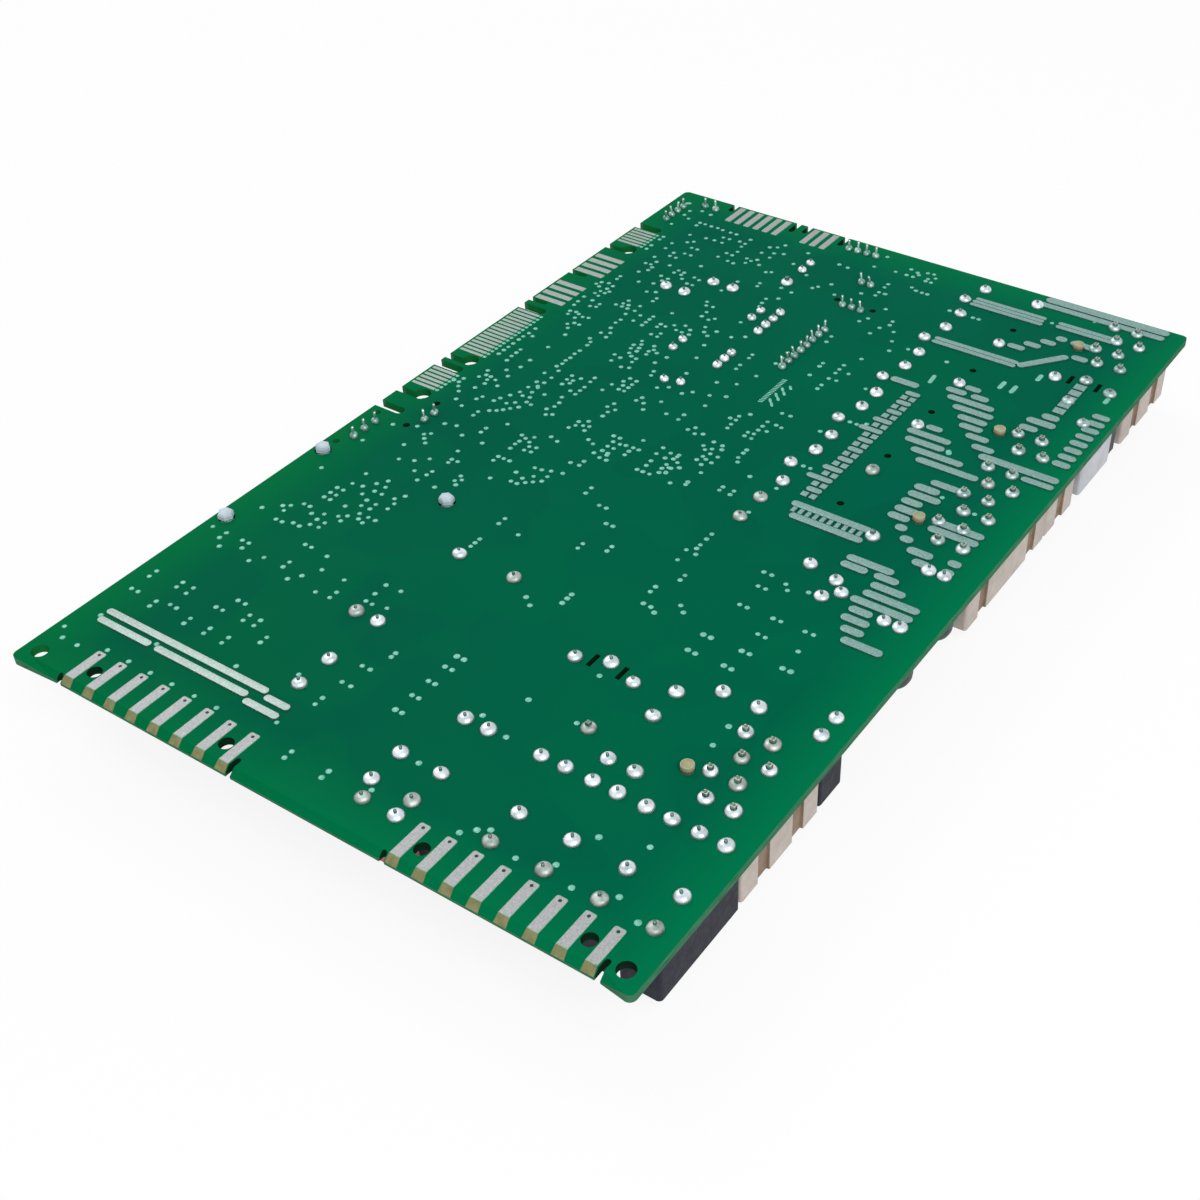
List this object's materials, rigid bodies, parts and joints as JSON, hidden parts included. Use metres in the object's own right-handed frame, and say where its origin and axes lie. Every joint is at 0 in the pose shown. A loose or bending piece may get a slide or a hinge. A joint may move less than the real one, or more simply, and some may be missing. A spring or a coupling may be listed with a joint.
{
  "type": "oven control board",
  "caption": "Printed circuit control board for an oven, lying solder side up on its relays and connector shrouds, with contact fingers along three edges.",
  "frame": {"origin": "under the middle of the board, on the plane that the tall component-side parts rest on", "axes": "+X along the front contact edge, +Y along the long side to the rear edge, +Z out of the solder side"},
  "size_m": [0.125, 0.2, 0.0197],
  "materials": {
    "solder_mask": "green solder mask over glass laminate, satin gloss",
    "contact_tin": "tinned copper edge contacts, dull pinkish grey",
    "track_solder": "solder-coated copper tracks, uneven satin",
    "joint_solder": "bright solder, smooth",
    "tinned_lead": "tinned wire",
    "tab_metal": "tinned brass blades",
    "relay_case": "dark slate moulded plastic",
    "header_plastic": "beige moulded plastic",
    "strip_plastic": "off-white moulded plastic",
    "frame_plastic": "pale blue-white moulded plastic",
    "capacitor_case": "pale grey moulded case",
    "small_capacitor_case": "brick-red moulded case",
    "can_sleeve": "dark shrink sleeve over an aluminium can",
    "varistor_lacquer": "blue lacquer",
    "choke_ferrite": "black ferrite and sleeve",
    "chip_epoxy": "black moulding compound",
    "ceramic_body": "white cement body",
    "crystal_can": "drawn steel can"
  },
  "bodies": {
    "root": {"bridge_rectifier": "chip_epoxy", "chip_feet": "tinned_lead", "circuit_board": "solder_mask", "component_leads": "tinned_lead", "connector_tabs": "tab_metal", "corner_header": "strip_plastic", "crystal": "crystal_can", "cube_relay_1": "relay_case", "cube_relay_2": "relay_case", "cube_relay_3": "relay_case", "cube_relay_4": "relay_case", "cube_relay_5": "relay_case", "disc_varistors": "varistor_lacquer", "driver_chip_1": "chip_epoxy", "driver_chip_2": "chip_epoxy", "drum_chokes": "choke_ferrite", "film_capacitor": "capacitor_case", "front_edge_contacts": "contact_tin", "fuse_resistor": "ceramic_body", "header_pins": "tinned_lead", "isolator_chip": "chip_epoxy", "large_electrolytics": "can_sleeve", "latch_header": "strip_plastic", "line_choke": "choke_ferrite", "link_header": "strip_plastic", "memory_chip": "chip_epoxy", "microcontroller": "chip_epoxy", "rear_edge_contacts": "contact_tin", "rear_header_1": "strip_plastic", "rear_header_2": "strip_plastic", "ribbon_header": "strip_plastic", "service_header": "strip_plastic", "side_edge_contacts": "contact_tin", "side_header": "strip_plastic", "slim_relay_1": "relay_case", "slim_relay_2": "relay_case", "slim_relay_3": "relay_case", "slim_relay_4": "relay_case", "slim_relay_5": "relay_case", "slim_relay_6": "relay_case", "small_electrolytics": "can_sleeve", "small_film_capacitors": "small_capacitor_case", "solder_joints": "joint_solder", "spacer_frame": "frame_plastic", "tab_header_1": "header_plastic", "tab_header_2": "header_plastic", "tab_header_3": "header_plastic", "tab_header_4": "header_plastic", "test_posts": "tinned_lead", "tinned_tracks": "track_solder", "triac_front": "chip_epoxy", "triac_rear": "chip_epoxy", "voltage_regulator": "chip_epoxy"}
  },
  "joints": []
}
